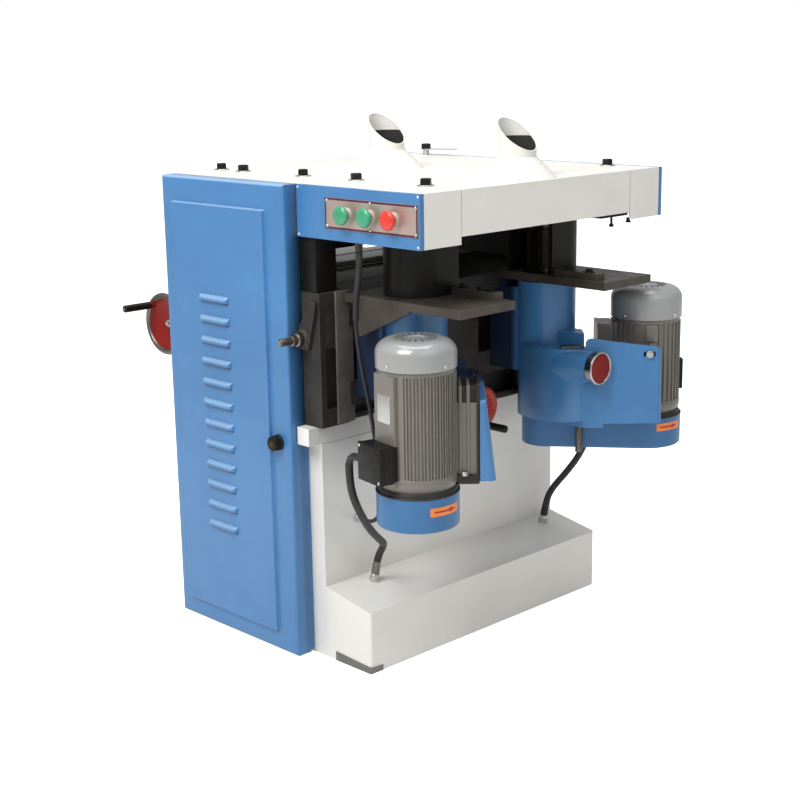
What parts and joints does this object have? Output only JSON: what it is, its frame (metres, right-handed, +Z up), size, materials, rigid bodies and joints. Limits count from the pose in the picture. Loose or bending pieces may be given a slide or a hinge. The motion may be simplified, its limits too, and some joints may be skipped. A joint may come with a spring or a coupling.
{
  "type": "surface planer",
  "caption": "Four-side surface planer with a hooded planing head, hinged drive door, dust outlets and a pair of belt-driven vertical side heads on cross slides.",
  "frame": {"origin": "centre of the bounding box on the floor", "axes": "+X along the feed towards the outfeed end, -Y towards the operator, +Z up"},
  "size_m": [1.245, 1.0778, 1.319],
  "materials": {
    "white_paint": "satin",
    "blue_paint": "satin",
    "motor_grey": "satin",
    "dark_casting": "matt",
    "steel": "brushed",
    "bolt_steel": "dark",
    "galvanised": "dull",
    "plate_metal": "satin",
    "red_enamel": "gloss",
    "green_plastic": "gloss",
    "red_plastic": "gloss",
    "black_plastic": "matt",
    "black_rubber": "matt"
  },
  "bodies": {
    "frame": {"base_cabinet": "white_paint", "outfeed_plinth": "white_paint", "drive_enclosure": "blue_paint", "hood_shell": "white_paint", "hood_pans": "blue_paint", "dust_outlets": "white_paint", "hood_bolts": "bolt_steel", "control_plate": "plate_metal", "side_frames": "dark_casting", "main_bed": "steel", "slide_frame": "dark_casting", "main_motor": "motor_grey", "main_belts": "black_rubber", "cable_glands": "black_plastic", "control_cable": "black_rubber"},
    "drive_door": {"drive_door": "blue_paint"},
    "lock_knob": {"lock_knob": "black_plastic"},
    "start_button_a": {"start_button_a": "green_plastic"},
    "start_button_b": {"start_button_b": "green_plastic"},
    "stop_button": {"stop_button": "red_plastic"},
    "infeed_table": {"infeed_table": "dark_casting"},
    "infeed_wheel": {"infeed_handwheel": "red_enamel"},
    "infeed_grip": {"infeed_grip": "black_plastic"},
    "upper_head": {"head_carriage": "dark_casting"},
    "lift_wheel": {"lift_handwheel": "red_enamel"},
    "lift_grip": {"lift_grip": "black_plastic"},
    "upper_cutter": {"upper_cutter": "steel"},
    "lower_cutter": {"lower_cutter": "steel"},
    "infeed_roller": {"infeed_roller": "steel"},
    "outfeed_roller": {"outfeed_roller": "steel"},
    "main_rotor": {"main_rotor": "steel"},
    "height_knob": {"height_knob": "red_enamel"},
    "left_head": {"left_head_casting": "blue_paint", "left_side_table": "dark_casting", "left_chip_guard": "dark_casting", "left_side_motor": "motor_grey", "left_motor_cowl": "motor_grey", "left_terminal_box": "black_plastic", "left_drive_belt": "black_rubber", "left_belt_guard": "blue_paint", "left_motor_cable": "black_rubber"},
    "left_quill": {"left_spindle_cartridge": "steel"},
    "left_spindle": {"left_spindle": "steel", "left_cutterhead": "steel"},
    "left_rotor": {"left_motor_rotor": "steel"},
    "left_screw": {"left_lead_screw": "steel"},
    "right_head": {"right_head_casting": "blue_paint", "right_side_table": "dark_casting", "right_chip_guard": "dark_casting", "right_side_motor": "motor_grey", "right_motor_cowl": "motor_grey", "right_terminal_box": "black_plastic", "right_drive_belt": "black_rubber", "right_belt_guard": "blue_paint", "right_motor_cable": "black_rubber"},
    "right_quill": {"right_spindle_cartridge": "steel"},
    "right_spindle": {"right_spindle": "steel", "right_cutterhead": "steel"},
    "right_rotor": {"right_motor_rotor": "steel"},
    "right_screw": {"right_lead_screw": "steel"}
  },
  "joints": [
    {"name": "drive_door_hinge", "type": "hinge", "parent": "frame", "child": "drive_door", "pos_m": [-0.383, -0.405, 0.58], "axis": [0, 0, -1], "range_deg": [0, 100]},
    {"name": "lock_knob_turn", "type": "hinge", "parent": "drive_door", "child": "lock_knob", "pos_m": [0.059, -0.4507, 0.553], "axis": [0, 1, 0], "range_deg": [0, 90]},
    {"name": "start_button_a_press", "type": "slide", "parent": "frame", "child": "start_button_a", "axis": [0, 1, 0], "range_m": [0, 0.005], "stiffness_N_per_m": 900},
    {"name": "start_button_b_press", "type": "slide", "parent": "frame", "child": "start_button_b", "axis": [0, 1, 0], "range_m": [0, 0.005], "stiffness_N_per_m": 900},
    {"name": "stop_button_press", "type": "slide", "parent": "frame", "child": "stop_button", "axis": [0, 1, 0], "range_m": [0, 0.005], "stiffness_N_per_m": 900},
    {"name": "infeed_table_lift", "type": "slide", "parent": "frame", "child": "infeed_table", "axis": [0, 0, 1], "range_m": [-0.008, 0]},
    {"name": "infeed_handwheel_turn", "type": "hinge", "parent": "infeed_table", "child": "infeed_wheel", "pos_m": [-0.5375, -0.351, 0.759], "axis": [0, -1, 0], "range_deg": [-720, 0]},
    {"name": "infeed_grip_spin", "type": "hinge", "parent": "infeed_wheel", "child": "infeed_grip", "pos_m": [-0.58713, -0.401, 0.80693], "axis": [0, -1, 0], "continuous": true},
    {"name": "upper_head_lift", "type": "slide", "parent": "frame", "child": "upper_head", "axis": [0, 0, 1], "range_m": [-0.05, 0], "deforming": ["main_belts"]},
    {"name": "lift_handwheel_turn", "type": "hinge", "parent": "frame", "child": "lift_wheel", "pos_m": [0.22, 0.109, 0.564], "axis": [1, 0, 0], "range_deg": [-4500, 0]},
    {"name": "lift_grip_spin", "type": "hinge", "parent": "lift_wheel", "child": "lift_grip", "pos_m": [0.27, 0.09463, 0.52453], "axis": [1, 0, 0], "continuous": true},
    {"name": "upper_cutter_spin", "type": "hinge", "parent": "upper_head", "child": "upper_cutter", "pos_m": [-0.04, 0.021, 1.07], "axis": [0, 1, 0], "continuous": true},
    {"name": "lower_cutter_spin", "type": "hinge", "parent": "frame", "child": "lower_cutter", "pos_m": [-0.16, 0.021, 0.857], "axis": [0, 1, 0], "continuous": true},
    {"name": "main_motor_spin", "type": "hinge", "parent": "frame", "child": "main_rotor", "pos_m": [-0.12, -0.219, 0.26], "axis": [0, 1, 0], "continuous": true},
    {"name": "infeed_roller_spin", "type": "hinge", "parent": "upper_head", "child": "infeed_roller", "pos_m": [-0.28, 0.021, 1.046], "axis": [0, 1, 0], "continuous": true},
    {"name": "outfeed_roller_spin", "type": "hinge", "parent": "upper_head", "child": "outfeed_roller", "pos_m": [0.065, 0.021, 1.044], "axis": [0, 1, 0], "continuous": true},
    {"name": "left_head_slide", "type": "slide", "parent": "frame", "child": "left_head", "axis": [0, -1, 0], "range_m": [-0.02, 0.02], "deforming": ["left_motor_cable"]},
    {"name": "left_screw_turn", "type": "hinge", "parent": "frame", "child": "left_screw", "pos_m": [0.12, -0.409, 0.813], "axis": [0, -1, 0], "range_deg": [-1440, 1440]},
    {"name": "left_quill_lift", "type": "slide", "parent": "left_head", "child": "left_quill", "axis": [0, 0, 1], "range_m": [-0.012, 0.012]},
    {"name": "left_motor_spin", "type": "hinge", "parent": "left_head", "child": "left_rotor", "pos_m": [0.48964, -0.40194, 0.7], "axis": [0, 0, 1], "continuous": true},
    {"name": "left_spindle_spin", "type": "hinge", "parent": "left_quill", "child": "left_spindle", "pos_m": [0.3065, -0.2188, 0.7], "axis": [0, 0, 1], "continuous": true},
    {"name": "right_head_slide", "type": "slide", "parent": "frame", "child": "right_head", "axis": [0, 1, 0], "range_m": [-0.02, 0.02], "deforming": ["right_motor_cable"]},
    {"name": "right_screw_turn", "type": "hinge", "parent": "frame", "child": "right_screw", "pos_m": [0.12, 0.451, 0.813], "axis": [0, 1, 0], "range_deg": [-1440, 1440]},
    {"name": "right_quill_lift", "type": "slide", "parent": "right_head", "child": "right_quill", "axis": [0, 0, 1], "range_m": [-0.012, 0.012]},
    {"name": "right_motor_spin", "type": "hinge", "parent": "right_head", "child": "right_rotor", "pos_m": [0.48964, 0.44394, 0.7], "axis": [0, 0, 1], "continuous": true},
    {"name": "right_spindle_spin", "type": "hinge", "parent": "right_quill", "child": "right_spindle", "pos_m": [0.3065, 0.2608, 0.7], "axis": [0, 0, 1], "continuous": true},
    {"name": "height_knob_turn", "type": "hinge", "parent": "right_head", "child": "height_knob", "pos_m": [0.531, 0.198, 0.7], "axis": [1, 0, 0], "range_deg": [-1080, 1080]}
  ],
  "couplings": [
    {"joint": "infeed_handwheel_turn", "follows": "infeed_table_lift", "rad_per_m": 1570.8},
    {"joint": "lift_handwheel_turn", "follows": "upper_head_lift", "rad_per_m": 1570.8},
    {"joint": "lower_cutter_spin", "follows": "upper_cutter_spin", "ratio": -1},
    {"joint": "main_motor_spin", "follows": "upper_cutter_spin", "ratio": 0.64286},
    {"joint": "outfeed_roller_spin", "follows": "infeed_roller_spin", "ratio": 1.0556},
    {"joint": "left_screw_turn", "follows": "left_head_slide", "rad_per_m": 1256.6},
    {"joint": "left_spindle_spin", "follows": "left_motor_spin", "ratio": 1.8421},
    {"joint": "right_screw_turn", "follows": "right_head_slide", "rad_per_m": 1256.6},
    {"joint": "right_spindle_spin", "follows": "right_motor_spin", "ratio": 1.8421},
    {"joint": "height_knob_turn", "follows": "right_quill_lift", "rad_per_m": 1570.8}
  ]
}
